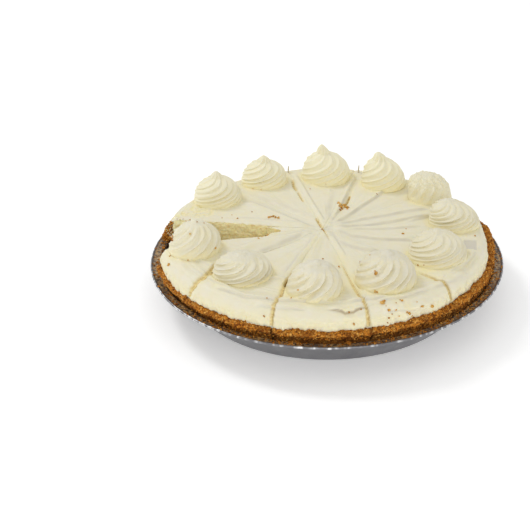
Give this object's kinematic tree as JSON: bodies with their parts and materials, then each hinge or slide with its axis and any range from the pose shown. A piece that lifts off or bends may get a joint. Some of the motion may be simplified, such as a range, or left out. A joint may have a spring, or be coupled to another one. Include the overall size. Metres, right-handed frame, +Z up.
{
  "type": "key lime pie",
  "caption": "Round key lime pie in a shallow foil tin, cut in slices with one slice gone, with crumb crust, lime filling, whipped cream and piped rosettes.",
  "frame": {"origin": "middle of the tin's underside, on the table", "axes": "+Z up; the gap of the missing slice opens towards -X; +Y is to the back as the pie is seen with the gap on the left"},
  "size_m": [0.254, 0.254, 0.0746],
  "materials": {
    "foil": "bright pressed foil",
    "crust": "baked biscuit crumb, coarse and matt",
    "filling": "set lime custard, smooth and moist",
    "cream": "spread whipped cream, soft sheen",
    "rosette": "piped whipped cream, soft sheen"
  },
  "bodies": {
    "root": {"pan": "foil", "slice_01_crust": "crust", "slice_01_filling": "filling", "slice_01_cream": "cream", "slice_01_rosette": "rosette", "slice_02_crust": "crust", "slice_02_filling": "filling", "slice_02_cream": "cream", "slice_02_rosette": "rosette", "slice_03_crust": "crust", "slice_03_filling": "filling", "slice_03_cream": "cream", "slice_03_rosette": "rosette", "slice_04_crust": "crust", "slice_04_filling": "filling", "slice_04_cream": "cream", "slice_04_rosette": "rosette", "slice_05_crust": "crust", "slice_05_filling": "filling", "slice_05_cream": "cream", "slice_05_rosette": "rosette", "slice_06_crust": "crust", "slice_06_filling": "filling", "slice_06_cream": "cream", "slice_06_rosette": "rosette", "slice_07_crust": "crust", "slice_07_filling": "filling", "slice_07_cream": "cream", "slice_07_rosette": "rosette", "slice_08_crust": "crust", "slice_08_filling": "filling", "slice_08_cream": "cream", "slice_08_rosette": "rosette", "slice_09_crust": "crust", "slice_09_filling": "filling", "slice_09_cream": "cream", "slice_09_rosette": "rosette", "slice_10_crust": "crust", "slice_10_filling": "filling", "slice_10_cream": "cream", "slice_10_rosette": "rosette", "slice_11_crust": "crust", "slice_11_filling": "filling", "slice_11_cream": "cream", "slice_11_rosette": "rosette", "tip_crust": "crust", "tip_filling": "filling", "tip_cream": "cream"}
  },
  "joints": []
}
